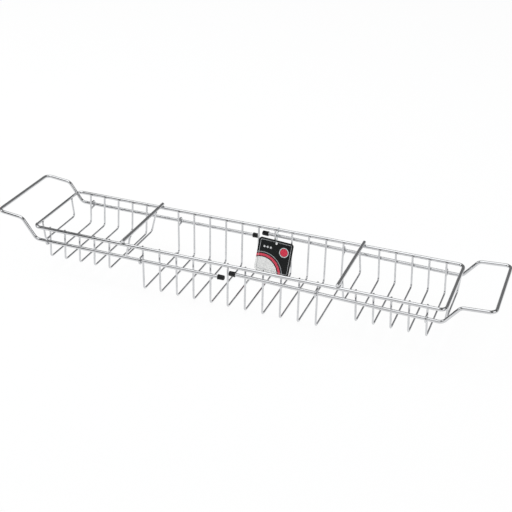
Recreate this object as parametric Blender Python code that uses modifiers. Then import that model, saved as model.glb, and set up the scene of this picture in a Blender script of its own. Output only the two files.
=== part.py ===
"""Extending bath rack of chromed wire.

A long basket of U-shaped ribs hangs from one rim loop. Two dividers on the rim
part it into a deep centre and two shallow ends, and a hanging guard wire closes
each end of a shallow part. Out of each end of the rack slides a wire handle: its
two arms run along the basket's sides, through staples on the ribs, and a black
cap on each arm is its stop.

X runs along the rack, Y to its back and Z up. The origin is at the bottom
centre, where the centre ribs stand. All lengths are in metres.
"""

from math import atan, cos, pi, radians, sin, tan

import bpy
from mathutils import Matrix, Vector

# Wires, and the gap that a welded or touching piece keeps to its seat
RIM_WIRE = 0.0045
RIB_WIRE = 0.0025
HANDLE_WIRE = 0.0045
SEAT_GAP = 0.0003

# Basket, measured between wire axes
RIM_WIDTH = 0.117
RIM_CORNER_RADIUS = 0.008
DIVIDER_X = 0.1428
CENTRE_PITCH = 0.0234
SIDE_PITCH = 0.0217
CENTRE_RIBS = 11
SIDE_RIBS = 5
CENTRE_DEPTH = 0.062
SIDE_DEPTH = 0.043
SIDE_RIB_LEAN = 0.0022
RIB_BEND_RADIUS = 0.005
RIB_TOP_RISE = 0.0012
DIVIDER_OVERHANG = 0.002

# Guard wires that hang from the end bars and the dividers, each bent a little into its shallow part
GUARD_WIDTH = 0.077
GUARD_DEPTH = 0.0285
LEFT_END_GUARD_LEAN = 0.003
LEFT_DIVIDER_GUARD_LEAN = 0.0072
RIGHT_DIVIDER_GUARD_LEAN = 0.003
RIGHT_END_GUARD_LEAN = 0.002
GUARD_BEND_RADIUS = 0.005

# Caps on the arms
CAP_DIAMETER = 0.0068
CAP_LENGTH = 0.0085
CAP_END_WALL = 0.002
CAP_EDGE_RADIUS = 0.0012
CAP_RIB_CLEARANCE = 0.0004

# Handles: the right one is the narrower, and slopes down and outwards in its staples.
# A drop is measured at the middle of the rack, a rise from the outer end of the arm
ARM_RUN = 0.2675
RISE_RUN = 0.0192
HANDLE_BEND_RADIUS = 0.010
HANDLE_CORNER_RADIUS = 0.008
LEFT_EXTRA_SPREAD = 0.0019
LEFT_ARM_DROP = 0.0163
LEFT_ARM_SLOPE_SHARE = 0.0
LEFT_SHOULDER_RISE = 0.0272
LEFT_BAR_RISE = 0.0311
LEFT_BAR_RUN = 0.0356
LEFT_CAP_REST = 0.0018
RIGHT_ARM_DROP = 0.0091
RIGHT_ARM_SLOPE_SHARE = 0.0252
RIGHT_SHOULDER_RISE = 0.0242
RIGHT_BAR_RISE = 0.0267
RIGHT_BAR_RUN = 0.0394
RIGHT_CAP_REST = 0.0037

# Staples that guide the arms
GUIDE_CLEARANCE = 0.0005

# Swing tag and the nylon loop that hangs it from the back of the rim
TAG_WIDTH = 0.0488
TAG_HEIGHT = 0.0457
TAG_THICKNESS = 0.0005
TAG_CORNER_RADIUS = 0.004
TAG_HOLE_RADIUS = 0.0016
TAG_HOLE_INSET = 0.0045
TAG_X = 0.0265
TAG_HANG = 0.0168
TAG_STANDOFF = 0.0022
TAG_ROLL = radians(3.1)
TAG_LEAN = radians(16.7)
LOOP_WIRE = 0.001
LOOP_END_RADIUS = 0.0017
LOOP_KNEE_RADIUS = 0.0015

# Facets
THIN_SIDES = 8
THICK_SIDES = 12
CAP_SIDES = 16
BEND_STEP = radians(18)

# Places that follow from the sizes
RIM_END_X = DIVIDER_X + SIDE_PITCH * (SIDE_RIBS + 1)
OUTER_GUIDE_X = DIVIDER_X + SIDE_PITCH * SIDE_RIBS
INNER_GUIDE_X = CENTRE_PITCH * (CENTRE_RIBS - 1) / 2
RIM_Y = RIM_WIDTH / 2
RIM_Z = CENTRE_DEPTH + RIB_WIRE / 2 * cos(pi / THIN_SIDES)
RIB_Y = RIM_Y - RIM_WIRE / 2 - SEAT_GAP - RIB_WIRE / 2
RIB_FACE_Y = RIB_Y + RIB_WIRE / 2
DIVIDER_Z = RIM_Z + RIM_WIRE + SEAT_GAP
RIGHT_ARM_Y = RIB_FACE_Y + CAP_RIB_CLEARANCE + CAP_DIAMETER / 2
LEFT_ARM_Y = RIGHT_ARM_Y + LEFT_EXTRA_SPREAD

SIDES = {"left": -1, "right": 1}
WALLS = {"front": -1, "back": 1}
ARM_Y = {"left": LEFT_ARM_Y, "right": RIGHT_ARM_Y}
ARM_DROP = {"left": LEFT_ARM_DROP, "right": RIGHT_ARM_DROP}
ARM_SLOPE_SHARE = {"left": LEFT_ARM_SLOPE_SHARE, "right": RIGHT_ARM_SLOPE_SHARE}
CAP_REST = {"left": LEFT_CAP_REST, "right": RIGHT_CAP_REST}
END_GUARD_LEAN = {"left": LEFT_END_GUARD_LEAN, "right": RIGHT_END_GUARD_LEAN}
DIVIDER_GUARD_LEAN = {"left": LEFT_DIVIDER_GUARD_LEAN, "right": RIGHT_DIVIDER_GUARD_LEAN}


def arm_z(side, x):
    """The height of a handle's arms, this far from the middle of the rack."""
    return RIM_Z - ARM_DROP[side] - ARM_SLOPE_SHARE[side] * x


def clear_scene():
    for obj in list(bpy.data.objects):
        bpy.data.objects.remove(obj)


def new_collection(name):
    collection = bpy.data.collections.new(name)
    bpy.context.scene.collection.children.link(collection)
    return collection


def new_material(name, color, metallic, roughness):
    material = bpy.data.materials.new(name)
    material.use_nodes = True
    shader = material.node_tree.nodes["Principled BSDF"]
    shader.inputs["Base Color"].default_value = (*color, 1)
    shader.inputs["Metallic"].default_value = metallic
    shader.inputs["Roughness"].default_value = roughness
    return material


def rounded(corners, radius, closed=False):
    """The corners' path with each corner replaced by an arc of this radius."""
    count = len(corners)
    path = []
    for index, corner in enumerate(corners):
        if not closed and index in (0, count - 1):
            path.append(corner)
            continue
        incoming = (corner - corners[index - 1]).normalized()
        outgoing = (corners[(index + 1) % count] - corner).normalized()
        turn = incoming.angle(outgoing)
        inward = (outgoing - incoming).normalized()
        centre = corner + inward * (radius / cos(turn / 2))
        start = corner - incoming * (radius * tan(turn / 2)) - centre
        axis = incoming.cross(outgoing)
        steps = max(2, round(turn / BEND_STEP))
        for step in range(steps + 1):
            path.append(centre + Matrix.Rotation(turn * step / steps, 3, axis) @ start)
    return path


def wire(name, path, diameter, sides, material, collection, closed=False):
    """A wire along this path, with a flat facet underneath where it lies level."""
    curve = bpy.data.curves.new(name, "CURVE")
    curve.dimensions = "3D"
    curve.bevel_depth = diameter / 2
    curve.bevel_resolution = sides // 2 - 2
    curve.use_fill_caps = True
    curve.twist_mode = "Z_UP" if sides == THICK_SIDES else "MINIMUM"
    spline = curve.splines.new("POLY")
    spline.points.add(len(path) - 1)
    spline.use_cyclic_u = closed
    spline.use_smooth = True
    for point, place in zip(spline.points, path):
        point.co = (*place, 1)
        point.tilt = pi / sides
    curve.materials.append(material)
    obj = bpy.data.objects.new(name, curve)
    collection.objects.link(obj)
    return obj


def add_rim(material, collection):
    corners = [
        Vector((x * RIM_END_X, y * RIM_Y, RIM_Z))
        for x, y in ((-1, -1), (1, -1), (1, 1), (-1, 1))
    ]
    path = rounded(corners, RIM_CORNER_RADIUS, closed=True)
    wire("rim_wire", path, RIM_WIRE, THICK_SIDES, material, collection, closed=True)


def add_dividers(material, collection):
    """Straight bars that lie across the top of the rim."""
    end_y = RIM_Y + DIVIDER_OVERHANG
    for side, sign in SIDES.items():
        path = [Vector((sign * DIVIDER_X, y, DIVIDER_Z)) for y in (-end_y, end_y)]
        wire(f"divider_{side}", path, RIM_WIRE, THICK_SIDES, material, collection)


def add_rib(name, x, depth, lean, material, collection):
    """A U of thin wire, its ends on the inner side of the rim and its bottom set off by the lean."""
    top_z = RIM_Z + RIB_TOP_RISE
    bottom_z = RIM_Z - depth
    corners = [
        Vector((x, -RIB_Y, top_z)),
        Vector((x + lean, -RIB_Y, bottom_z)),
        Vector((x + lean, RIB_Y, bottom_z)),
        Vector((x, RIB_Y, top_z)),
    ]
    path = rounded(corners, RIB_BEND_RADIUS)
    wire(name, path, RIB_WIRE, THIN_SIDES, material, collection)


def add_ribs(material, collection):
    for number in range(1, CENTRE_RIBS + 1):
        x = CENTRE_PITCH * (number - (CENTRE_RIBS + 1) / 2)
        add_rib(f"rib_centre_{number}", x, CENTRE_DEPTH, 0, material, collection)
    for side, sign in SIDES.items():
        for number in range(1, SIDE_RIBS + 1):
            x = sign * (DIVIDER_X + SIDE_PITCH * number)
            lean = sign * SIDE_RIB_LEAN
            add_rib(f"rib_{side}_{number}", x, SIDE_DEPTH, lean, material, collection)


def add_guard(name, x, bar_z, lean, material, collection):
    """A U of thin wire that hangs below a bar and leans into the shallow part."""
    slope = abs(lean) / GUARD_DEPTH
    top_z = bar_z - RIM_WIRE / 2 - SEAT_GAP - RIB_WIRE / 2 * slope
    bottom_z = RIM_Z - GUARD_DEPTH
    half = GUARD_WIDTH / 2
    corners = [
        Vector((x, -half, top_z)),
        Vector((x + lean, -half, bottom_z)),
        Vector((x + lean, half, bottom_z)),
        Vector((x, half, top_z)),
    ]
    path = rounded(corners, GUARD_BEND_RADIUS)
    wire(name, path, RIB_WIRE, THIN_SIDES, material, collection)


def add_guards(material, collection):
    for side, sign in SIDES.items():
        end_x = sign * RIM_END_X
        lean = -sign * END_GUARD_LEAN[side]
        add_guard(f"end_guard_{side}", end_x, RIM_Z, lean, material, collection)
        bar_x = sign * DIVIDER_X
        lean = sign * DIVIDER_GUARD_LEAN[side]
        add_guard(f"divider_guard_{side}", bar_x, DIVIDER_Z, lean, material, collection)


def add_guide(name, side, x, wall, material, collection):
    """A staple round the arm, both ends on the outer side of a rib."""
    radius = HANDLE_WIRE / 2 + GUIDE_CLEARANCE + RIB_WIRE / 2
    seat_y = RIB_FACE_Y + SEAT_GAP
    z = arm_z(side, abs(x))
    steps = round(pi / BEND_STEP)
    path = [Vector((x, wall * seat_y, z + radius))]
    for step in range(steps + 1):
        angle = pi * step / steps
        y = ARM_Y[side] + radius * sin(angle)
        path.append(Vector((x, wall * y, z + radius * cos(angle))))
    path.append(Vector((x, wall * seat_y, z - radius)))
    wire(name, path, RIB_WIRE, THIN_SIDES, material, collection)


def outer_guide_x(side):
    """Where the leaning outermost rib stands at the height of the arms."""
    drop = RIM_Z - arm_z(side, OUTER_GUIDE_X)
    return OUTER_GUIDE_X + SIDE_RIB_LEAN * drop / SIDE_DEPTH


def add_guides(material, collection):
    for side, sign in SIDES.items():
        for place, x in (("outer", outer_guide_x(side)), ("inner", INNER_GUIDE_X)):
            for wall_name, wall in WALLS.items():
                name = f"guide_{side}_{place}_{wall_name}"
                add_guide(name, side, sign * x, wall, material, collection)


def slide_empty(side, collection):
    """The empty that carries a handle, on the line along which it slides."""
    empty = bpy.data.objects.new(f"slide_{side}", None)
    empty.location = (0, 0, arm_z(side, 0))
    collection.objects.link(empty)
    return empty


def add_handle(side, shoulder_rise, bar_rise, bar_run, material, collection):
    """A U of thick wire whose arms step up outside the basket to a raised end bar."""
    y = ARM_Y[side]
    slope = ARM_SLOPE_SHARE[side]
    end_x = CAP_REST[side] + CAP_END_WALL + SEAT_GAP
    foot_x = CAP_REST[side] + ARM_RUN
    foot_z = -slope * foot_x
    shoulder_x = foot_x + RISE_RUN
    bar_x = shoulder_x + bar_run
    arm = [
        (end_x, -slope * end_x),
        (foot_x, foot_z),
        (shoulder_x, foot_z + shoulder_rise),
        (bar_x, foot_z + bar_rise),
    ]
    sign = SIDES[side]
    front = [Vector((sign * x, -y, z)) for x, z in arm]
    back = [Vector((sign * x, y, z)) for x, z in reversed(arm)]
    half_bar = (front[3] + back[0]) / 2
    path = handle_bends(front, half_bar) + list(reversed(handle_bends(back[::-1], half_bar)))
    return wire(f"handle_{side}", path, HANDLE_WIRE, THICK_SIDES, material, collection)


def handle_bends(arm, half_bar):
    """One arm with its bends, up to but not including the middle of the end bar."""
    bends = rounded(arm, HANDLE_BEND_RADIUS)[:-1]
    corner = rounded([bends[-1], arm[-1], half_bar], HANDLE_CORNER_RADIUS)
    return bends + corner[1:-1]


def cap_profile():
    """Half the section of a cap, from its tip's middle down the outside and up the bore."""
    outer = CAP_DIAMETER / 2
    bore = HANDLE_WIRE / 2 + SEAT_GAP
    steps = round(pi / 2 / BEND_STEP)
    edge = [
        (
            outer - CAP_EDGE_RADIUS * (1 - sin(pi / 2 * step / steps)),
            CAP_LENGTH - CAP_EDGE_RADIUS * (1 - cos(pi / 2 * step / steps)),
        )
        for step in range(steps + 1)
    ]
    floor = CAP_LENGTH - CAP_END_WALL
    return [(0, CAP_LENGTH), *edge, (outer, 0), (bore, 0), (bore, floor), (0, floor)]


def add_cap(name, side, wall, material, collection):
    """A turned cap on the arm's end, its closed tip towards the middle of the rack."""
    profile = cap_profile()
    mesh = bpy.data.meshes.new(name)
    edges = [(index, index + 1) for index in range(len(profile) - 1)]
    mesh.from_pydata([(x, 0, z) for x, z in profile], edges, [])
    mesh.materials.append(material)
    obj = bpy.data.objects.new(name, mesh)
    collection.objects.link(obj)
    screw = obj.modifiers.new("turned", "SCREW")
    screw.steps = CAP_SIDES
    screw.render_steps = CAP_SIDES
    screw.use_merge_vertices = True
    screw.merge_threshold = 0.00001
    screw.use_smooth_shade = True
    sign = SIDES[side]
    slope = ARM_SLOPE_SHARE[side]
    mouth_x = CAP_REST[side] + CAP_LENGTH
    obj.location = (sign * mouth_x, wall * ARM_Y[side], -slope * mouth_x)
    obj.rotation_euler = (0, -sign * (pi / 2 - atan(slope)), 0)
    return obj


def add_handles(chrome, plastic, collection):
    shapes = {
        "left": (LEFT_SHOULDER_RISE, LEFT_BAR_RISE, LEFT_BAR_RUN),
        "right": (RIGHT_SHOULDER_RISE, RIGHT_BAR_RISE, RIGHT_BAR_RUN),
    }
    for side, shape in shapes.items():
        empty = slide_empty(side, collection)
        handle = add_handle(side, *shape, chrome, collection)
        handle.parent = empty
        for wall_name, wall in WALLS.items():
            cap = add_cap(f"cap_{side}_{wall_name}", side, wall, plastic, collection)
            cap.parent = empty


def outline_spline(curve, points):
    spline = curve.splines.new("POLY")
    spline.points.add(len(points) - 1)
    for point, (x, y) in zip(spline.points, points):
        point.co = (x, y, 0, 1)
    spline.use_cyclic_u = True


def hole_centre():
    """The tag's hole, where the nylon loop passes through it."""
    inner_y = RIB_Y - RIB_WIRE / 2
    return Vector((TAG_X, inner_y - TAG_STANDOFF, RIM_Z - TAG_HANG))


def add_tag(material, collection):
    """A card with rounded corners, its origin at the hole that it hangs by."""
    half = TAG_WIDTH / 2
    top = TAG_HOLE_INSET
    bottom = TAG_HOLE_INSET - TAG_HEIGHT
    corners = [Vector((x, y, 0)) for x, y in ((-half, bottom), (half, bottom), (half, top), (-half, top))]
    outline = rounded(corners, TAG_CORNER_RADIUS, closed=True)
    curve = bpy.data.curves.new("swing_tag", "CURVE")
    curve.dimensions = "2D"
    curve.fill_mode = "BOTH"
    curve.extrude = TAG_THICKNESS / 2
    outline_spline(curve, [point.xy for point in outline])
    angles = [2 * pi * step / CAP_SIDES for step in range(CAP_SIDES)]
    outline_spline(curve, [(TAG_HOLE_RADIUS * cos(a), TAG_HOLE_RADIUS * sin(a)) for a in angles])
    curve.materials.append(material)
    obj = bpy.data.objects.new("swing_tag", curve)
    collection.objects.link(obj)
    obj.location = hole_centre()
    upright_and_lean = Matrix.Rotation(pi / 2 - TAG_LEAN, 4, "X")
    obj.rotation_euler = (upright_and_lean @ Matrix.Rotation(-TAG_ROLL, 4, "Z")).to_euler()


def side_arc(centre, radius, first, last):
    """Points on an arc seen from the rack's end, its angles counted up from the back."""
    steps = round(abs(last - first) / BEND_STEP)
    angles = [first + (last - first) * step / steps for step in range(steps + 1)]
    return [centre + Vector((0, radius * cos(a), radius * sin(a))) for a in angles]


def add_tag_loop(material, collection):
    """A closed nylon loop round the rim, both strands leaving it inwards to the tag's hole."""
    hole = hole_centre()
    rim_radius = RIM_WIRE / 2 + SEAT_GAP + LOOP_WIRE / 2
    rim = Vector((hole.x, RIM_Y, RIM_Z))
    low = hole + Vector((0, 0, LOOP_END_RADIUS))
    over_rim = side_arc(rim, rim_radius, pi, -pi / 2)
    through_hole = side_arc(low, LOOP_END_RADIUS, 0, -pi)
    knee = Vector((hole.x, RIB_FACE_Y, RIM_Z - rim_radius))
    strand = rounded([over_rim[-1], knee, through_hole[0]], LOOP_KNEE_RADIUS)[1:-1]
    path = over_rim + strand + through_hole
    wire("tag_loop", path, LOOP_WIRE, THIN_SIDES, material, collection, closed=True)


def main():
    clear_scene()
    parts = new_collection("bath_rack")
    chrome = new_material("bright_chrome", (0.80, 0.80, 0.82), 1, 0.08)
    plastic = new_material("black_plastic", (0.012, 0.012, 0.013), 0, 0.40)
    card = new_material("printed_card", (0.020, 0.020, 0.022), 0, 0.35)
    nylon = new_material("clear_nylon", (0.80, 0.82, 0.84), 0, 0.25)
    add_rim(chrome, parts)
    add_dividers(chrome, parts)
    add_ribs(chrome, parts)
    add_guards(chrome, parts)
    add_guides(chrome, parts)
    add_handles(chrome, plastic, parts)
    add_tag(card, parts)
    add_tag_loop(nylon, parts)


main()
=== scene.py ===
# Looks of an extending bath rack of chromed wire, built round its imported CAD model.
from math import cos, pi, radians, sin

import bmesh
import bpy
from mathutils import Matrix, Vector
from mathutils.geometry import delaunay_2d_cdt


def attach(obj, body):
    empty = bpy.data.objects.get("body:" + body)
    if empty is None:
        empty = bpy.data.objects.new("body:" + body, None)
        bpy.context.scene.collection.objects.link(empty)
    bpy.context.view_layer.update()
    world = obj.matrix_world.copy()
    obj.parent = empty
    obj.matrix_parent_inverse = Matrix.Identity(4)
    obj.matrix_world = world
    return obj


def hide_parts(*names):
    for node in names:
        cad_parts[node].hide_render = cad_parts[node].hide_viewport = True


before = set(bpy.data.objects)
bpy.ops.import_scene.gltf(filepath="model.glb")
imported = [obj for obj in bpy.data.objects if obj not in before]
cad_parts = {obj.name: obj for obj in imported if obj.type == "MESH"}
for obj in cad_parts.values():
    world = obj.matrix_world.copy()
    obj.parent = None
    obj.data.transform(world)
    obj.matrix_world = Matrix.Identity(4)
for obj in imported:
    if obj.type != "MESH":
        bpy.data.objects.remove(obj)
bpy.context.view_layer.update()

MM = 0.001

# Sizes of the CAD model that the wires are drawn to, in metres
RIM_WIRE = 0.0045
RIB_WIRE = 0.0025
HANDLE_WIRE = 0.0045
SEAT_GAP = 0.0003
RIM_WIDTH = 0.117
RIM_CORNER_RADIUS = 0.008
DIVIDER_X = 0.1428
CENTRE_PITCH = 0.0234
SIDE_PITCH = 0.0217
CENTRE_RIBS = 11
SIDE_RIBS = 5
CAD_RIB_SIDES = 8
CENTRE_DEPTH = 0.062
SIDE_DEPTH = 0.043
SIDE_RIB_LEAN = 0.0022
RIB_BEND_RADIUS = 0.005
RIB_TOP_RISE = 0.0012
DIVIDER_OVERHANG = 0.002
GUARD_WIDTH = 0.077
GUARD_DEPTH = 0.0285
END_GUARD_LEAN = {"left": 0.003, "right": 0.002}
DIVIDER_GUARD_LEAN = {"left": 0.0072, "right": 0.003}
GUARD_BEND_RADIUS = 0.005
CAP_DIAMETER = 0.0068
CAP_LENGTH = 0.0085
CAP_END_WALL = 0.002
CAP_RIB_CLEARANCE = 0.0004
ARM_RUN = 0.2675
RISE_RUN = 0.0192
HANDLE_BEND_RADIUS = 0.010
HANDLE_CORNER_RADIUS = 0.008
LEFT_EXTRA_SPREAD = 0.0019
ARM_DROP = {"left": 0.0163, "right": 0.0091}
ARM_SLOPE_SHARE = {"left": 0.0, "right": 0.0252}
SHOULDER_RISE = {"left": 0.0272, "right": 0.0242}
BAR_RISE = {"left": 0.0311, "right": 0.0267}
BAR_RUN = {"left": 0.0356, "right": 0.0394}
CAP_REST = {"left": 0.0018, "right": 0.0037}
GUIDE_CLEARANCE = 0.0005
TAG_WIDTH = 0.0488
TAG_HEIGHT = 0.0457
TAG_CORNER_RADIUS = 0.004
TAG_HOLE_RADIUS = 0.0016
TAG_HOLE_INSET = 0.0045
TAG_X = 0.0265
TAG_HANG = 0.0168
TAG_STANDOFF = 0.0022
TAG_ROLL = radians(3.1)
TAG_LEAN = radians(16.7)
LOOP_WIRE = 0.001
LOOP_END_RADIUS = 0.0017
LOOP_KNEE_RADIUS = 0.0015

# Places that follow from the sizes
RIM_END_X = DIVIDER_X + SIDE_PITCH * (SIDE_RIBS + 1)
RIM_Y = RIM_WIDTH / 2
RIM_Z = CENTRE_DEPTH + RIB_WIRE / 2 * cos(pi / CAD_RIB_SIDES)
RIB_Y = RIM_Y - RIM_WIRE / 2 - SEAT_GAP - RIB_WIRE / 2
RIB_FACE_Y = RIB_Y + RIB_WIRE / 2
DIVIDER_Z = RIM_Z + RIM_WIRE + SEAT_GAP
RIGHT_ARM_Y = RIB_FACE_Y + CAP_RIB_CLEARANCE + CAP_DIAMETER / 2
ARM_Y = {"left": RIGHT_ARM_Y + LEFT_EXTRA_SPREAD, "right": RIGHT_ARM_Y}
SIDES = {"left": -1, "right": 1}
WALLS = {"front": -1, "back": 1}
CORNER_SIGNS = ((-1, -1), (1, -1), (1, 1), (-1, 1))

# The card is thinner than its solid, and hangs a little bent
CARD_THICKNESS = 0.0004
CARD_BOW = 0.0009

# How finely the pieces are drawn
WIRE_FACETS = 24
THIN_FACETS = 16
BEND_STEPS = 10
CAP_FACETS = 48
ARC_STEP = radians(9)

# Edges sharper than these stay sharp
WIRE_CREASE = radians(32)
SOLID_CREASE = radians(40)

# A cut end is chamfered over this length, down to this share of the wire
CUT_CHAMFER = 0.0003
END_SHARE = 0.82


# Scene, camera and light

WHITE = "#FFFFFF"


def linear(hex_colour):
    """An sRGB hex colour as linear RGBA."""
    shares = [int(hex_colour[i:i + 2], 16) / 255 for i in (1, 3, 5)]
    return (*[c / 12.92 if c <= 0.04045 else ((c + 0.055) / 1.055) ** 2.4 for c in shares], 1)


def add_node(tree, kind, inputs=None, **settings):
    """A new node. Inputs are named or numbered, and each takes a value or another node's output."""
    node = tree.nodes.new(kind)
    for name, value in settings.items():
        setattr(node, name, value)
    for key, value in (inputs or {}).items():
        if isinstance(value, bpy.types.NodeSocket):
            tree.links.new(value, node.inputs[key])
        else:
            node.inputs[key].default_value = value
    return node


def link(obj):
    bpy.context.scene.collection.objects.link(obj)
    return obj


# Fitted to points measured in the photograph
LENS_MM = 72.36
CAMERA_PLACE = (0.41464, -1.08982, 0.68143)
CAMERA_TURN_DEGREES = (61.4752, -1.2728, 20.7455)

SENSOR_MM = 36
NEAREST_SEEN = 0.01


def add_camera():
    data = bpy.data.cameras.new("photo_view")
    data.lens = LENS_MM
    data.sensor_width = SENSOR_MM
    data.clip_start = NEAREST_SEEN
    camera = link(bpy.data.objects.new("photo_view", data))
    camera.location = CAMERA_PLACE
    camera.rotation_euler = [radians(angle) for angle in CAMERA_TURN_DEGREES]
    bpy.context.scene.camera = camera


# Softboxes: name, place, the point each faces, width, height, watts and whether the chrome shows it
SOFTBOXES = (
    ("top_softbox", (-0.42, 0.25, 1.9), (-0.42, 0.25, 0), 1.28, 1.45, 22, False),
    ("left_softbox", (-1.9, -0.5, 1.3), (0, 0, 0.05), 1.2, 1.2, 8, True),
    ("right_softbox", (1.9, -0.6, 1.3), (0, 0, 0.05), 1.2, 1.2, 8, True),
)


def add_light():
    for name, place, faces, width, height, watts, shows in SOFTBOXES:
        data = bpy.data.lights.new(name, "AREA")
        data.shape = "RECTANGLE"
        data.size = width
        data.size_y = height
        data.energy = watts
        lamp = link(bpy.data.objects.new(name, data))
        lamp.location = place
        lamp.visible_glossy = shows
        lamp.rotation_euler = (Vector(faces) - Vector(place)).to_track_quat("-Z", "Y").to_euler()


def direct_look(tree):
    """1 for a ray from the camera or one that a surface reflects or lets through, and 0 for the others."""
    path = add_node(tree, "ShaderNodeLightPath")
    seen = path.outputs["Is Camera Ray"]
    for ray in ("Is Glossy Ray", "Is Transmission Ray"):
        either = add_node(tree, "ShaderNodeMath", {0: seen, 1: path.outputs[ray]}, operation="MAXIMUM")
        seen = either.outputs[0]
    return seen


# What the room gives as fill light
ROOM_TINT = "#F2F4F6"
ROOM_STRENGTH = 0.62


def add_world():
    """A pale room. The camera, chrome and nylon see its plain white walls."""
    world = bpy.data.worlds.new("pale_room")
    bpy.context.scene.world = world
    world.use_nodes = True
    tree = world.node_tree
    tree.nodes.clear()
    room = add_node(tree, "ShaderNodeBackground", {"Color": linear(ROOM_TINT), "Strength": ROOM_STRENGTH})
    wall = add_node(tree, "ShaderNodeBackground", {"Color": linear(WHITE), "Strength": 1.0})
    shares = {0: direct_look(tree), 1: room.outputs[0], 2: wall.outputs[0]}
    mix = add_node(tree, "ShaderNodeMixShader", shares)
    add_node(tree, "ShaderNodeOutputWorld", {"Surface": mix.outputs[0]})


def new_material(name):
    """A material and its tree, which is still empty."""
    material = bpy.data.materials.new(name)
    material.use_nodes = True
    material.node_tree.nodes.clear()
    return material, material.node_tree


def plain_mesh(name, corners, material):
    """One flat face."""
    mesh = bpy.data.meshes.new(name)
    mesh.from_pydata(corners, [], [tuple(range(len(corners)))])
    mesh.materials.append(material)
    return link(bpy.data.objects.new(name, mesh))


FLOOR_HALF = 6.0
FLOOR_DROP = 0.0002
FLOOR_TINT = "#EFEFEF"
FLOOR_OWN_WHITE = 0.92


def add_floor():
    """A white table top. Most of its white is its own, so it stays white round a soft shadow."""
    material, tree = new_material("white_table")
    paint = {"Base Color": linear(FLOOR_TINT), "Roughness": 0.9, "Specular IOR Level": 0.1}
    lit = add_node(tree, "ShaderNodeBsdfPrincipled", paint)
    own = add_node(tree, "ShaderNodeEmission", {"Color": linear(WHITE), "Strength": 1.0})
    share = add_node(tree, "ShaderNodeMath", {0: direct_look(tree), 1: FLOOR_OWN_WHITE}, operation="MULTIPLY")
    mix = add_node(tree, "ShaderNodeMixShader", {0: share.outputs[0], 1: lit.outputs[0], 2: own.outputs[0]})
    add_node(tree, "ShaderNodeOutputMaterial", {"Surface": mix.outputs[0]})
    corners = [(x * FLOOR_HALF, y * FLOOR_HALF, -FLOOR_DROP) for x, y in CORNER_SIGNS]
    floor = plain_mesh("table_top", corners, material)


# Boards outside the picture: name, middle, turn and tilt in degrees, width, height, brightness
BOARDS = (
    ("back_card", (0.2, 2.2, 1.35), 0, 0, 5.0, 2.5, 0.22),
    ("front_left_card", (-2.9, -2.6, 1.8), 0, 0, 2.8, 3.5, 0.02),
    ("front_middle_card", (-1.0, -2.6, 1.3), 0, 0, 1.0, 2.2, 0.40),
    ("front_card", (0.4, -2.6, 1.2), 0, 0, 1.8, 1.9, 0.40),
    ("front_right_card", (2.3, -2.6, 1.5), 0, 0, 2.0, 2.8, 0.05),
    ("right_card", (2.7, -0.4, 1.5), 90, 0, 4.0, 2.9, 0.08),
    ("left_card", (-2.6, 0.0, 1.1), 90, 0, 5.0, 2.1, 0.12),
    ("left_flag", (-2.45, -0.9, 3.0), 0, 90, 1.9, 5.0, 0.20),
    ("back_flag", (-0.9, 1.55, 2.3), 0, 90, 4.6, 1.5, 0.15),
    ("top_flag", (1.2, 0.0, 1.92), 0, 90, 1.9, 3.5, 0.15),
    ("top_card", (-0.48, 0.15, 1.9), 0, 90, 1.4, 2.1, 1.8),
)


def add_boards():
    """Boards that only reflections see: they draw the grey lines and the white one along a wire."""
    for name, middle, turn, tilt, width, height, brightness in BOARDS:
        material, tree = new_material(name)
        glow = add_node(tree, "ShaderNodeEmission", {"Color": linear(WHITE), "Strength": brightness})
        add_node(tree, "ShaderNodeOutputMaterial", {"Surface": glow.outputs[0]})
        facing = Matrix.Rotation(radians(turn), 3, "Z") @ Matrix.Rotation(radians(tilt), 3, "X")
        corners = [Vector((x * width / 2, 0, z * height / 2)) for x, z in CORNER_SIGNS]
        board = plain_mesh(name, [Vector(middle) + facing @ corner for corner in corners], material)
        board.visible_camera = False
        board.visible_diffuse = False
        board.visible_transmission = False
        board.visible_shadow = False


# Materials

# Nearly all of a noise's values lie between these
NOISE_LOW = 0.3
NOISE_HIGH = 0.7

# Sockets that share their names with others on the node, by number: a colour mix's and a random number's
MIX_FIRST, MIX_SECOND, MIX_RESULT = (6, 7, 2)
RANDOM_LOW, RANDOM_HIGH, RANDOM_RESULT = (2, 3, 1)


def object_noise(tree, size_mm, detail, offset=(0, 0, 0)):
    """Noise on the object's own coordinates, its grains about this many millimetres wide."""
    place = add_node(tree, "ShaderNodeTexCoord").outputs["Object"]
    moved = add_node(tree, "ShaderNodeMapping", {"Vector": place, "Location": offset})
    grains = {"Vector": moved.outputs[0], "Scale": 1 / (size_mm * MM), "Detail": detail}
    return add_node(tree, "ShaderNodeTexNoise", grains).outputs[0]


def skin(tree, drift, tones, roughness=None, relief=None, relief_mm=0):
    """A shader's inputs: colour and roughness drift with one noise, and another raises the skin."""
    spread = {"Value": drift, "From Min": NOISE_LOW, "From Max": NOISE_HIGH}
    share = add_node(tree, "ShaderNodeMapRange", spread)
    first, second = [linear(tone) for tone in tones]
    mixed = {"Factor": share.outputs[0], MIX_FIRST: first, MIX_SECOND: second}
    colour = add_node(tree, "ShaderNodeMix", mixed, data_type="RGBA")
    inputs = {"Base Color": colour.outputs[MIX_RESULT]}
    if roughness is not None:
        smoothest, roughest = roughness
        gloss = add_node(tree, "ShaderNodeMapRange", {**spread, "To Min": smoothest, "To Max": roughest})
        inputs["Roughness"] = gloss.outputs[0]
    if relief is not None:
        raised = {"Height": relief, "Strength": 1.0, "Distance": relief_mm * MM}
        inputs["Normal"] = add_node(tree, "ShaderNodeBump", raised).outputs[0]
    return inputs


def set_surface(tree, inputs):
    """Ends a material's tree with one shader, each value or link on the shader's own socket."""
    shader = add_node(tree, "ShaderNodeBsdfPrincipled", inputs)
    add_node(tree, "ShaderNodeOutputMaterial", {"Surface": shader.outputs[0]})


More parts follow.
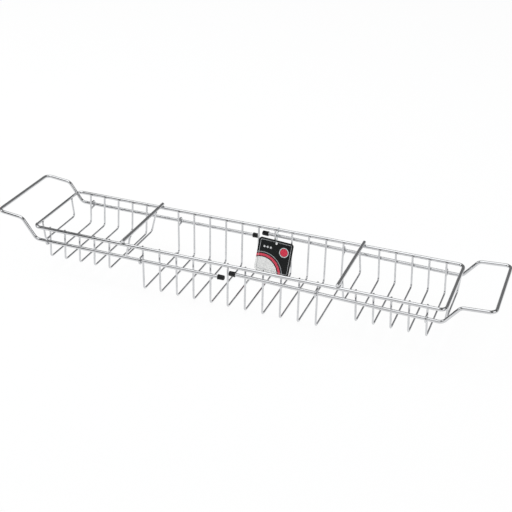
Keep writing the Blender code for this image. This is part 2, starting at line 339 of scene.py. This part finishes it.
def chrome_plated_wire():
    """Bright chrome over nickel on drawn steel: a hard mirror with water smears and a faint ripple."""
    material, tree = new_material("chrome_plated_wire")
    smears = object_noise(tree, size_mm=26, detail=4)
    ripple = object_noise(tree, size_mm=1.6, detail=2, offset=(0.4, 0.1, 0.7))
    finish = skin(tree, smears, ("#D4D5D7", "#CACBCD"), (0.06, 0.15), ripple, relief_mm=0.012)
    set_surface(tree, {"Metallic": 1.0, **finish})
    return material


def plated_weld():
    """Resistance weld under the same plate: the metal is upset and pitted, so it looks duller and darker."""
    material, tree = new_material("plated_weld")
    pits = object_noise(tree, size_mm=0.5, detail=5, offset=(0.2, 0.9, 0.3))
    finish = skin(tree, pits, ("#6F6E6E", "#9A9A9B"), (0.22, 0.42), pits, relief_mm=0.08)
    set_surface(tree, {"Metallic": 1.0, **finish})
    return material


def moulded_cap_plastic():
    """Black polyethylene, pushed on while warm: a soft satin skin with a fine mould grain."""
    material, tree = new_material("moulded_cap_plastic")
    scuffs = object_noise(tree, size_mm=4, detail=4, offset=(0.3, 0.3, 0.1))
    grain = object_noise(tree, size_mm=0.35, detail=3)
    finish = skin(tree, scuffs, ("#0D0D0E", "#19191A"), (0.36, 0.52), grain, relief_mm=0.02)
    set_surface(tree, {"IOR": 1.51, "Specular IOR Level": 0.3, **finish})
    return material


def nylon_line():
    """Clear nylon line: faintly milky and drawn to a soft gloss."""
    material, tree = new_material("nylon_line")
    streaks = object_noise(tree, size_mm=1.2, detail=3)
    finish = skin(tree, streaks, ("#E9EDEE", "#D8DEE0"), (0.12, 0.28))
    set_surface(tree, {"IOR": 1.53, "Transmission Weight": 0.75, **finish})
    return material


def card_core():
    """The cut edge of grey board, with its fibres."""
    material, tree = new_material("card_core")
    fibres = object_noise(tree, size_mm=0.3, detail=4)
    finish = skin(tree, fibres, ("#8F8B83", "#B3AEA3"), relief=fibres, relief_mm=0.03)
    set_surface(tree, {"Roughness": 0.9, **finish})
    return material


# The card's printed design, in millimetres from its middle. A group of rings has one middle,
# and each ring has its ink, radius and half width
KEYLINE_INK = "#A9ABAC"
KEYLINE_INSET = 2.8
KEYLINE_HALF = 0.30
SWELL = ((-15.0, -27.0), (("#EDEDEB", 11.7, 11.7), ("#D9485C", 26.4, 1.6), ("#9C9EA0", 30.2, 0.5)))
DROP = ((12.5, 8.5), (("#D83A50", 2.6, 2.6), ("#D9DADA", 6.1, 0.5)))
DOTS = [((x, 11), (("#D9DADA", 0.7, 0.7),)) for x in (-15.5, -11, -6.5)]


def card_place(tree):
    """The place on a face of the card, in millimetres from its middle."""
    uv = add_node(tree, "ShaderNodeUVMap", uv_map="card").outputs[0]
    centred = add_node(tree, "ShaderNodeVectorMath", {0: uv, 1: (0.5, 0.5, 0)}, operation="SUBTRACT")
    size_mm = (TAG_WIDTH / MM, TAG_HEIGHT / MM, 0)
    place = add_node(tree, "ShaderNodeVectorMath", {0: centred.outputs[0], 1: size_mm}, operation="MULTIPLY")
    return place.outputs[0]


def ring_masks(tree, place):
    """Each printed ring's mask and ink, from the lowest to the topmost."""
    masks = []
    for middle, rings in (SWELL, DROP, *DOTS):
        away = add_node(tree, "ShaderNodeVectorMath", {0: place, 1: (*middle, 0)}, operation="DISTANCE")
        for ink, radius, half in rings:
            band = {0: away.outputs["Value"], 1: radius, 2: half}
            masks.append((add_node(tree, "ShaderNodeMath", band, operation="COMPARE").outputs[0], ink))
    return masks


def keyline_mask(tree, place):
    """1 on the thin line that follows the card's rounded edge."""
    corner = TAG_CORNER_RADIUS / MM
    straight = (TAG_WIDTH / MM / 2 - corner, TAG_HEIGHT / MM / 2 - corner, 0)
    folded = add_node(tree, "ShaderNodeVectorMath", {0: place}, operation="ABSOLUTE").outputs[0]
    beyond = add_node(tree, "ShaderNodeVectorMath", {0: folded, 1: straight}, operation="SUBTRACT").outputs[0]
    outside = add_node(tree, "ShaderNodeVectorMath", {0: beyond, 1: (0, 0, 0)}, operation="MAXIMUM")
    reach = add_node(tree, "ShaderNodeVectorMath", {0: outside.outputs[0]}, operation="LENGTH")
    line = {0: reach.outputs["Value"], 1: corner - KEYLINE_INSET, 2: KEYLINE_HALF}
    return add_node(tree, "ShaderNodeMath", line, operation="COMPARE").outputs[0]


def printed_card(printed):
    """Laminated board, printed black: a soft sheen over flat inks. The back is plain but for its keyline."""
    material, tree = new_material("printed_card" if printed else "plain_card_back")
    mottle = object_noise(tree, size_mm=1.5, detail=4)
    finish = skin(tree, mottle, ("#0C0F10", "#151819"), (0.24, 0.36), mottle, relief_mm=0.01)
    place = card_place(tree)
    rings = ring_masks(tree, place) if printed else []
    colour = finish["Base Color"]
    for mask, ink in (*rings, (keyline_mask(tree, place), KEYLINE_INK)):
        mixed = {"Factor": mask, MIX_FIRST: colour, MIX_SECOND: linear(ink)}
        colour = add_node(tree, "ShaderNodeMix", mixed, data_type="RGBA").outputs[MIX_RESULT]
    set_surface(tree, {"IOR": 1.5, "Specular IOR Level": 0.25, **finish, "Base Color": colour})
    return material


# Geometry Nodes

NUMBER = "NodeSocketFloat"
WHOLE = "NodeSocketInt"
VECTOR = "NodeSocketVector"
STUFF = "NodeSocketMaterial"
GEOMETRY = "NodeSocketGeometry"


def new_tree(name, inputs):
    """A tree from geometry to geometry with these inputs, each a name and its kind of socket."""
    tree = bpy.data.node_groups.new(name, "GeometryNodeTree")
    tree.interface.new_socket("Geometry", in_out="INPUT", socket_type=GEOMETRY)
    for label, kind in inputs:
        tree.interface.new_socket(label, in_out="INPUT", socket_type=kind)
    tree.interface.new_socket("Geometry", in_out="OUTPUT", socket_type=GEOMETRY)
    return tree, add_node(tree, "NodeGroupInput").outputs


def finish_tree(tree, geometry, material):
    """Real faces, sharp only at the cut ends, in this material."""
    real = add_node(tree, "GeometryNodeRealizeInstances", {"Geometry": geometry})
    softened = {"Geometry": real.outputs[0], "Shade Smooth": True}
    smooth = add_node(tree, "GeometryNodeSetShadeSmooth", softened, domain="FACE")
    angle = add_node(tree, "GeometryNodeInputMeshEdgeAngle")
    sharp = add_node(tree, "ShaderNodeMath", {0: angle.outputs[0], 1: WIRE_CREASE}, operation="GREATER_THAN")
    creased = {"Geometry": smooth.outputs[0], "Selection": sharp.outputs[0], "Shade Smooth": False}
    edges = add_node(tree, "GeometryNodeSetShadeSmooth", creased, domain="EDGE")
    dressed = add_node(tree, "GeometryNodeSetMaterial", {"Geometry": edges.outputs[0], "Material": material})
    add_node(tree, "NodeGroupOutput", {"Geometry": dressed.outputs[0]})


def drawn_wire_tree():
    """Bends each path at its corners, sweeps a round section along it and repeats it along a row."""
    inputs = (
        ("Wire Diameter", NUMBER), ("Section Sides", WHOLE), ("Bend Steps", WHOLE),
        ("End Chamfer Share", NUMBER), ("Copies", WHOLE), ("First Place", VECTOR),
        ("Pitch", VECTOR), ("Material", STUFF),
    )
    tree, given = new_tree("drawn_wire", inputs)
    radius = add_node(tree, "GeometryNodeInputRadius")
    bends = {"Curve": given["Geometry"], "Count": given["Bend Steps"], "Radius": radius.outputs[0]}
    bent = add_node(tree, "GeometryNodeFilletCurve", bends, mode="POLY")
    ends = add_node(tree, "GeometryNodeCurveEndpointSelection")
    chamfer = {"Value": ends.outputs[0], "To Min": 1.0, "To Max": given["End Chamfer Share"]}
    scale = add_node(tree, "ShaderNodeMapRange", chamfer)
    half = add_node(tree, "ShaderNodeMath", {0: given["Wire Diameter"], 1: 0.5}, operation="MULTIPLY")
    circle = {"Resolution": given["Section Sides"], "Radius": half.outputs[0]}
    section = add_node(tree, "GeometryNodeCurvePrimitiveCircle", circle)
    sweep = {
        "Curve": bent.outputs[0], "Profile Curve": section.outputs[0],
        "Scale": scale.outputs[0], "Fill Caps": True,
    }
    swept = add_node(tree, "GeometryNodeCurveToMesh", sweep)
    places = {"Count": given["Copies"], "Start Location": given["First Place"], "Offset": given["Pitch"]}
    row = add_node(tree, "GeometryNodeMeshLine", places, mode="OFFSET")
    repeated = {"Points": row.outputs[0], "Instance": swept.outputs[0]}
    copies = add_node(tree, "GeometryNodeInstanceOnPoints", repeated)
    finish_tree(tree, copies.outputs[0], given["Material"])
    return tree


# The least and the most share of its size that a lump has, and how finely it is drawn
LUMP_LEAST = 0.86
LUMP_MOST = 1.12
LUMP_SUBDIVISIONS = 3
LUMP_DETAIL = 2.0


def weld_tree():
    """A lump of upset metal at each point, flattened as the point says, and never quite like the next."""
    inputs = (("Grain", NUMBER), ("Unevenness", NUMBER), ("Seed", WHOLE), ("Material", STUFF))
    tree, given = new_tree("resistance_welds", inputs)
    size = add_node(tree, "GeometryNodeInputNamedAttribute", {"Name": "lump_size"}, data_type="FLOAT_VECTOR")
    strays = {RANDOM_LOW: LUMP_LEAST, RANDOM_HIGH: LUMP_MOST, "Seed": given["Seed"]}
    varied = add_node(tree, "FunctionNodeRandomValue", strays, data_type="FLOAT")
    sized = {0: size.outputs[0], "Scale": varied.outputs[RANDOM_RESULT]}
    scaled = add_node(tree, "ShaderNodeVectorMath", sized, operation="SCALE")
    sphere = {"Radius": 1.0, "Subdivisions": LUMP_SUBDIVISIONS}
    ball = add_node(tree, "GeometryNodeMeshIcoSphere", sphere)
    placed = {"Points": given["Geometry"], "Instance": ball.outputs[0], "Scale": scaled.outputs[0]}
    lumps = add_node(tree, "GeometryNodeInstanceOnPoints", placed)
    real = add_node(tree, "GeometryNodeRealizeInstances", {"Geometry": lumps.outputs[0]})
    place = add_node(tree, "GeometryNodeInputPosition")
    normal = add_node(tree, "GeometryNodeInputNormal")
    pitch = add_node(tree, "ShaderNodeMath", {0: 1.0, 1: given["Grain"]}, operation="DIVIDE")
    grains = {"Vector": place.outputs[0], "Scale": pitch.outputs[0], "Detail": LUMP_DETAIL}
    noise = add_node(tree, "ShaderNodeTexNoise", grains)
    centred = add_node(tree, "ShaderNodeMath", {0: noise.outputs[0], 1: 0.5}, operation="SUBTRACT")
    uneven = {0: centred.outputs[0], 1: given["Unevenness"]}
    height = add_node(tree, "ShaderNodeMath", uneven, operation="MULTIPLY")
    outward = {0: normal.outputs[0], "Scale": height.outputs[0]}
    push = add_node(tree, "ShaderNodeVectorMath", outward, operation="SCALE")
    pushed = {"Geometry": real.outputs[0], "Offset": push.outputs[0]}
    rough = add_node(tree, "GeometryNodeSetPosition", pushed)
    finish_tree(tree, rough.outputs[0], given["Material"])
    return tree


def shaped(name, data, tree, values):
    """The plain mesh that this tree makes from the data."""
    source = link(bpy.data.objects.new(name + "_source", data))
    modifier = source.modifiers.new("shape", "NODES")
    modifier.node_group = tree
    for item in tree.interface.items_tree:
        if item.item_type == "SOCKET" and item.in_out == "INPUT" and item.name in values:
            modifier[item.identifier] = values[item.name]
    bpy.context.view_layer.update()
    graph = bpy.context.evaluated_depsgraph_get()
    finished = source.evaluated_get(graph)
    mesh = bpy.data.meshes.new_from_object(finished, preserve_all_data_layers=True, depsgraph=graph)
    mesh.name = name
    source.modifiers.remove(modifier)
    bpy.data.objects.remove(source)
    return link(bpy.data.objects.new(name, mesh))


def paths_curve(name, paths):
    """A curve with a straight-sided spline for each path: its corners, their bend radii, whether it closes.

    An open path gets a point just inside each cut end, where the chamfer starts.
    """
    curve = bpy.data.curves.new(name, "CURVE")
    curve.dimensions = "3D"
    for corners, bends, closed in paths:
        places = [Vector(corner) for corner in corners]
        radii = list(bends)
        if not closed:
            first = (places[1] - places[0]).normalized() * CUT_CHAMFER
            last = (places[-2] - places[-1]).normalized() * CUT_CHAMFER
            places = [places[0], places[0] + first, *places[1:-1], places[-1] + last, places[-1]]
            radii = [0, 0, *radii[1:-1], 0, 0]
        spline = curve.splines.new("POLY")
        spline.points.add(len(places) - 1)
        for point, place, radius in zip(spline.points, places, radii):
            point.co = (*place, 1)
            point.radius = radius
        spline.use_cyclic_u = closed
    return curve


# A row repeats a piece: how many, the first one's place and the step to the next
ONE_PLACE = (1, (0, 0, 0), (0, 0, 0))


def wire_piece(name, paths, diameter, facets, tree, material, row=ONE_PLACE):
    """Bent wires as one mesh, repeated along the row."""
    copies, first_place, pitch = row
    values = {
        "Wire Diameter": diameter, "Section Sides": facets, "Bend Steps": BEND_STEPS,
        "End Chamfer Share": END_SHARE, "Copies": copies, "First Place": first_place,
        "Pitch": pitch, "Material": material,
    }
    return shaped(name, paths_curve(name, paths), tree, values)


def settle(piece, body, slot, *nodes):
    """The piece rides on its body and stands for these CAD nodes."""
    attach(piece, body)
    if nodes:
        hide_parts(*nodes)


# Basket

def add_rim(tree, chrome):
    corners = [(x * RIM_END_X, y * RIM_Y, RIM_Z) for x, y in CORNER_SIGNS]
    path = (corners, [RIM_CORNER_RADIUS] * len(corners), True)
    piece = wire_piece("rim_loop", [path], RIM_WIRE, WIRE_FACETS, tree, chrome)
    settle(piece, "basket", "bright_chrome", "rim_wire")


def add_dividers(tree, chrome):
    end = RIM_Y + DIVIDER_OVERHANG
    path = ([(0, -end, DIVIDER_Z), (0, end, DIVIDER_Z)], [0, 0], False)
    row = (2, (-DIVIDER_X, 0, 0), (2 * DIVIDER_X, 0, 0))
    piece = wire_piece("divider_bars", [path], RIM_WIRE, WIRE_FACETS, tree, chrome, row)
    settle(piece, "basket", "bright_chrome", "divider_left", "divider_right")


def hanging_u(half, top_z, bottom_z, lean, bend_radius, x=0):
    """The path of a U of wire that hangs from both walls, its bottom set off by the lean."""
    corners = [(x, -half, top_z), (x + lean, -half, bottom_z), (x + lean, half, bottom_z), (x, half, top_z)]
    return corners, [0, bend_radius, bend_radius, 0], False


def add_ribs(tree, chrome):
    top_z = RIM_Z + RIB_TOP_RISE
    deep = hanging_u(RIB_Y, top_z, RIM_Z - CENTRE_DEPTH, 0, RIB_BEND_RADIUS)
    row = (CENTRE_RIBS, (-CENTRE_PITCH * (CENTRE_RIBS - 1) / 2, 0, 0), (CENTRE_PITCH, 0, 0))
    piece = wire_piece("deep_ribs", [deep], RIB_WIRE, THIN_FACETS, tree, chrome, row)
    settle(piece, "basket", "bright_chrome", *[f"rib_centre_{n}" for n in range(1, CENTRE_RIBS + 1)])
    for side, sign in SIDES.items():
        shallow = hanging_u(RIB_Y, top_z, RIM_Z - SIDE_DEPTH, sign * SIDE_RIB_LEAN, RIB_BEND_RADIUS)
        row = (SIDE_RIBS, (sign * (DIVIDER_X + SIDE_PITCH), 0, 0), (sign * SIDE_PITCH, 0, 0))
        piece = wire_piece(f"{side}_shallow_ribs", [shallow], RIB_WIRE, THIN_FACETS, tree, chrome, row)
        settle(piece, "basket", "bright_chrome", *[f"rib_{side}_{n}" for n in range(1, SIDE_RIBS + 1)])


def guard_places():
    """Each guard's CAD node, x, the height of its bar and its lean."""
    places = []
    for side, sign in SIDES.items():
        places.append((f"end_guard_{side}", sign * RIM_END_X, RIM_Z, -sign * END_GUARD_LEAN[side]))
        places.append((f"divider_guard_{side}", sign * DIVIDER_X, DIVIDER_Z, sign * DIVIDER_GUARD_LEAN[side]))
    return places


def guard_top(bar_z, lean):
    """The height of a guard's cut ends, which stop just under the bar also where the wire leans."""
    return bar_z - RIM_WIRE / 2 - SEAT_GAP - RIB_WIRE / 2 * abs(lean) / GUARD_DEPTH


def add_guards(tree, chrome):
    places = guard_places()
    paths = [
        hanging_u(GUARD_WIDTH / 2, guard_top(bar_z, lean), RIM_Z - GUARD_DEPTH, lean, GUARD_BEND_RADIUS, x)
        for _, x, bar_z, lean in places
    ]
    piece = wire_piece("guard_wires", paths, RIB_WIRE, THIN_FACETS, tree, chrome)
    settle(piece, "basket", "bright_chrome", *[name for name, *_ in places])


def arm_z(side, x):
    """The height of a handle's arm at this distance from the rack's middle."""
    return RIM_Z - ARM_DROP[side] - ARM_SLOPE_SHARE[side] * x


def staple_places():
    """Each staple's CAD node, side, wall and x, which for the outer ones follows the leaning rib."""
    outer_rib_x = DIVIDER_X + SIDE_PITCH * SIDE_RIBS
    places = []
    for side, sign in SIDES.items():
        outer_x = outer_rib_x + SIDE_RIB_LEAN * (RIM_Z - arm_z(side, outer_rib_x)) / SIDE_DEPTH
        inner_x = CENTRE_PITCH * (CENTRE_RIBS - 1) / 2
        for place, x in (("outer", outer_x), ("inner", inner_x)):
            for wall_name, wall in WALLS.items():
                places.append((f"guide_{side}_{place}_{wall_name}", side, wall, sign * x))
    return places


STAPLE_RADIUS = HANDLE_WIRE / 2 + GUIDE_CLEARANCE + RIB_WIRE / 2


def add_staples(tree, chrome):
    paths = []
    for _, side, wall, x in staple_places():
        z = arm_z(side, abs(x))
        seat = wall * (RIB_FACE_Y + SEAT_GAP)
        crown = wall * (ARM_Y[side] + STAPLE_RADIUS)
        top, low = z + STAPLE_RADIUS, z - STAPLE_RADIUS
        corners = [(x, seat, top), (x, crown, top), (x, crown, low), (x, seat, low)]
        paths.append((corners, [0, STAPLE_RADIUS, STAPLE_RADIUS, 0], False))
    piece = wire_piece("arm_staples", paths, RIB_WIRE, THIN_FACETS, tree, chrome)
    settle(piece, "basket", "bright_chrome", *[name for name, *_ in staple_places()])


# Half lengths of the lumps that the welds squeeze out, in metres
RIB_LUMP = (0.00165, 0.0007, 0.0013)
BAR_LUMP = (0.0020, 0.0020, 0.0007)
GUARD_LUMP = (0.0016, 0.0016, 0.0006)
STAPLE_LUMP = (0.0014, 0.0006, 0.0014)

# How wide the lumps' grains are, how far they push the metal, in metres, and the seed for the lumps' sizes
LUMP_GRAIN = 0.0011
LUMP_UNEVENNESS = 0.0006
LUMP_SEED = 7


def weld_points():
    """Each weld's place and the half lengths of its lump."""
    points = []
    seam_y = RIB_FACE_Y + SEAT_GAP / 2
    rib_places = [CENTRE_PITCH * (n - (CENTRE_RIBS - 1) / 2) for n in range(CENTRE_RIBS)]
    for sign in SIDES.values():
        rib_places += [sign * (DIVIDER_X + SIDE_PITCH * n) for n in range(1, SIDE_RIBS + 1)]
    seam_z = RIM_Z + RIM_WIRE / 2 + SEAT_GAP / 2
    for wall in WALLS.values():
        points += [((x, wall * seam_y, RIM_Z), RIB_LUMP) for x in rib_places]
        points += [((sign * DIVIDER_X, wall * RIM_Y, seam_z), BAR_LUMP) for sign in SIDES.values()]
        for _, x, bar_z, lean in guard_places():
            points.append(((x, wall * GUARD_WIDTH / 2, guard_top(bar_z, lean) + SEAT_GAP / 2), GUARD_LUMP))
    for _, side, wall, x in staple_places():
        z = arm_z(side, abs(x))
        points += [((x, wall * seam_y, z + rise), STAPLE_LUMP) for rise in (STAPLE_RADIUS, -STAPLE_RADIUS)]
    return points


def add_welds(tree, weld):
    points = weld_points()
    mesh = bpy.data.meshes.new("basket_welds")
    mesh.from_pydata([place for place, _ in points], [], [])
    sizes = mesh.attributes.new("lump_size", "FLOAT_VECTOR", "POINT")
    sizes.data.foreach_set("vector", [length for _, size in points for length in size])
    values = {"Grain": LUMP_GRAIN, "Unevenness": LUMP_UNEVENNESS, "Seed": LUMP_SEED, "Material": weld}
    piece = shaped("basket_welds", mesh, tree, values)
    settle(piece, "basket", "bright_chrome")


# Handles and their caps

def add_handle(side, tree, chrome):
    sign = SIDES[side]
    y = ARM_Y[side]
    end_x = CAP_REST[side] + CAP_END_WALL + SEAT_GAP
    foot_x = CAP_REST[side] + ARM_RUN
    shoulder_x = foot_x + RISE_RUN
    foot_z = arm_z(side, foot_x)
    arm = [
        (end_x, arm_z(side, end_x)),
        (foot_x, foot_z),
        (shoulder_x, foot_z + SHOULDER_RISE[side]),
        (shoulder_x + BAR_RUN[side], foot_z + BAR_RISE[side]),
    ]
    corners = [(sign * x, -y, z) for x, z in arm] + [(sign * x, y, z) for x, z in reversed(arm)]
    bends = [0, HANDLE_BEND_RADIUS, HANDLE_BEND_RADIUS, HANDLE_CORNER_RADIUS]
    path = (corners, bends + bends[::-1], False)
    piece = wire_piece(f"{side}_handle_wire", [path], HANDLE_WIRE, WIRE_FACETS, tree, chrome)
    settle(piece, f"{side}_handle", "bright_chrome", f"handle_{side}")


# Moulded form of a cap: a bead at the mouth, a little draft, and a rounded tip
MOUTH_BEAD = 0.0011
BEAD_STEP = 0.00014
TIP_ROUND = 0.0011
TIP_STEPS = 6


def cap_profile():
    """Half a cap's section from the middle of its tip down the outside and up the bore: radii and heights."""
    outer = CAP_DIAMETER / 2
    body = outer - BEAD_STEP
    bore = HANDLE_WIRE / 2 + SEAT_GAP / 2
    tip = [
        (body - BEAD_STEP - TIP_ROUND * (1 - sin(turn)), CAP_LENGTH - TIP_ROUND * (1 - cos(turn)))
        for turn in (pi / 2 * step / TIP_STEPS for step in range(TIP_STEPS + 1))
    ]
    bead = [(body, MOUTH_BEAD + BEAD_STEP), (outer, MOUTH_BEAD - BEAD_STEP), (outer, BEAD_STEP), (body, 0)]
    floor = CAP_LENGTH - CAP_END_WALL
    return [(0, CAP_LENGTH), *tip, *bead, (bore, 0), (bore, floor), (0, floor)]


def creased_mesh(name, built, materials):
    """The built faces as a mesh that is smooth but for its sharp edges."""
    for edge in built.edges:
        edge.smooth = edge.calc_face_angle(0) < SOLID_CREASE
    mesh = bpy.data.meshes.new(name)
    built.to_mesh(mesh)
    built.free()
    for material in materials:
        mesh.materials.append(material)
    return mesh


def turned_mesh(name, profile, facets, material):
    """A closed solid turned from a profile whose first and last points lie on the axis."""
    built = bmesh.new()
    tip = built.verts.new((0, 0, profile[0][1]))
    floor = built.verts.new((0, 0, profile[-1][1]))
    turns = [2 * pi * n / facets for n in range(facets)]
    rings = [
        [built.verts.new((radius * cos(turn), radius * sin(turn), z)) for turn in turns]
        for radius, z in profile[1:-1]
    ]
    for n in range(facets):
        after = (n + 1) % facets
        built.faces.new((tip, rings[0][n], rings[0][after]))
        built.faces.new((floor, rings[-1][after], rings[-1][n]))
        for upper, lower in zip(rings, rings[1:]):
            built.faces.new((upper[n], lower[n], lower[after], upper[after]))
    for face in built.faces:
        face.smooth = True
    bmesh.ops.recalc_face_normals(built, faces=built.faces)
    return creased_mesh(name, built, [material])


def add_caps(side, plastic):
    sign = SIDES[side]
    mouth_x = CAP_REST[side] + CAP_LENGTH
    aim = Vector((-sign, 0, ARM_SLOPE_SHARE[side])).to_track_quat("Z", "Y").to_matrix().to_4x4()
    for wall_name, wall in WALLS.items():
        mesh = turned_mesh(f"{side}_{wall_name}_arm_cap", cap_profile(), CAP_FACETS, plastic)
        mesh.transform(Matrix.Translation((sign * mouth_x, wall * ARM_Y[side], arm_z(side, mouth_x))) @ aim)
        piece = link(bpy.data.objects.new(mesh.name, mesh))
        settle(piece, f"{side}_handle", "black_plastic", f"cap_{side}_{wall_name}")


# Swing tag

HOLE = Vector((TAG_X, RIB_Y - RIB_WIRE / 2 - TAG_STANDOFF, RIM_Z - TAG_HANG))
HOLE_FACETS = 24
CARD_CORNER_STEPS = 8
CARD_CELL = 0.0025
FRONT, BACK, CUT_EDGE = (0, 1, 2)

# The card's points are joined by every triangle of their hull, and those that lie this close are merged
WHOLE_HULL = 0
MERGE_DISTANCE = 1e-7


def card_outline():
    """The rounded card's edge, seen from the front with the hole as its origin."""
    half = TAG_WIDTH / 2 - TAG_CORNER_RADIUS
    top = TAG_HOLE_INSET - TAG_CORNER_RADIUS
    bottom = TAG_HOLE_INSET - TAG_HEIGHT + TAG_CORNER_RADIUS
    edge = []
    for quarter, (x, y) in enumerate(((half, top), (-half, top), (-half, bottom), (half, bottom))):
        for step in range(CARD_CORNER_STEPS + 1):
            turn = pi / 2 * (quarter + step / CARD_CORNER_STEPS)
            edge.append((x + TAG_CORNER_RADIUS * cos(turn), y + TAG_CORNER_RADIUS * sin(turn)))
    return edge


def closed_loop(first, count):
    """The edges of a loop of so many points, numbered from the first."""
    return [(first + n, first + (n + 1) % count) for n in range(count)]


def card_sheet():
    """Points and triangles of the flat card with its hole."""
    edge = card_outline()
    turns = [2 * pi * n / HOLE_FACETS for n in range(HOLE_FACETS)]
    rim = [(TAG_HOLE_RADIUS * cos(turn), TAG_HOLE_RADIUS * sin(turn)) for turn in turns]
    columns = int(TAG_WIDTH / CARD_CELL)
    rows = int(TAG_HEIGHT / CARD_CELL)
    inside = []
    for column in range(1, columns):
        for row in range(1, rows):
            x = TAG_WIDTH * (column / columns - 1 / 2)
            y = TAG_HOLE_INSET - TAG_HEIGHT * row / rows
            if x * x + y * y > (TAG_HOLE_RADIUS + CARD_CELL / 2) ** 2:
                inside.append((x, y))
    points = [Vector(p) for p in edge + rim + inside]
    loops = closed_loop(0, len(edge)) + closed_loop(len(edge), len(rim))
    places, _, faces, *_ = delaunay_2d_cdt(points, loops, [], WHOLE_HULL, MERGE_DISTANCE)
    middles = [sum((places[i] for i in face), Vector((0, 0))) / len(face) for face in faces]
    return places, [face for face, middle in zip(faces, middles) if middle.length > TAG_HOLE_RADIUS]


def card_mesh(materials):
    """The card with its front, its back and its cut edge, bowed forward at its sides."""
    places, faces = card_sheet()
    built = bmesh.new()
    uv = built.loops.layers.uv.new("card")
    bows = [CARD_BOW * (2 * p.x / TAG_WIDTH) ** 2 for p in places]
    upper, lower = [
        [built.verts.new((p.x, p.y, bow + offset)) for p, bow in zip(places, bows)]
        for offset in (CARD_THICKNESS / 2, -CARD_THICKNESS / 2)
    ]
    for face in faces:
        built.faces.new([upper[i] for i in face]).material_index = FRONT
        built.faces.new([lower[i] for i in reversed(face)]).material_index = BACK
    built.verts.index_update()
    open_edges = [edge for edge in built.edges if edge.is_boundary and edge.verts[0].index < len(places)]
    for edge in open_edges:
        loop = edge.link_loops[0]
        first, second = loop.vert.index, loop.link_loop_next.vert.index
        wall = built.faces.new((upper[second], upper[first], lower[first], lower[second]))
        wall.material_index = CUT_EDGE
    for face in built.faces:
        face.smooth = face.material_index != CUT_EDGE
        for loop in face.loops:
            x, y, _ = loop.vert.co
            loop[uv].uv = (x / TAG_WIDTH + 1 / 2, (y - TAG_HOLE_INSET) / TAG_HEIGHT + 1)
    built.normal_update()
    return creased_mesh("swing_card", built, materials)


def add_card(front, back, core):
    mesh = card_mesh((front, back, core))
    turn = Matrix.Rotation(pi / 2 - TAG_LEAN, 4, "X") @ Matrix.Rotation(-TAG_ROLL, 4, "Z")
    mesh.transform(Matrix.Translation(HOLE) @ turn)
    piece = link(bpy.data.objects.new("swing_card", mesh))
    settle(piece, "basket", "printed_card", "swing_tag")


def side_arc(centre, radius, first, last):
    """Points on an arc seen from the rack's end, its angles counted up from the back."""
    steps = round(abs(last - first) / ARC_STEP)
    angles = [first + (last - first) * step / steps for step in range(steps + 1)]
    return [centre + Vector((0, radius * cos(a), radius * sin(a))) for a in angles]


def add_line(tree, nylon):
    """The nylon loop: round the rim, in to the card's hole and back."""
    rim_radius = RIM_WIRE / 2 + SEAT_GAP + LOOP_WIRE / 2
    over_rim = side_arc(Vector((HOLE.x, RIM_Y, RIM_Z)), rim_radius, pi, -pi / 2)
    through_hole = side_arc(HOLE + Vector((0, 0, LOOP_END_RADIUS)), LOOP_END_RADIUS, 0, -pi)
    knee = Vector((HOLE.x, RIB_FACE_Y, RIM_Z - rim_radius))
    corners = [*over_rim, knee, *through_hole]
    bends = [0] * len(over_rim) + [LOOP_KNEE_RADIUS] + [0] * len(through_hole)
    piece = wire_piece("nylon_loop", [(corners, bends, True)], LOOP_WIRE, THIN_FACETS, tree, nylon)
    settle(piece, "basket", "clear_nylon", "tag_loop")


def main():
    add_camera()
    add_light()
    add_world()
    add_floor()
    add_boards()
    chrome = chrome_plated_wire()
    wires = drawn_wire_tree()
    for add_piece in (add_rim, add_dividers, add_ribs, add_guards, add_staples):
        add_piece(wires, chrome)
    add_welds(weld_tree(), plated_weld())
    plastic = moulded_cap_plastic()
    for side in SIDES:
        add_handle(side, wires, chrome)
        add_caps(side, plastic)
    add_card(printed_card(True), printed_card(False), card_core())
    add_line(wires, nylon_line())
    scene = bpy.context.scene
    scene.view_settings.view_transform = "Standard"


main()
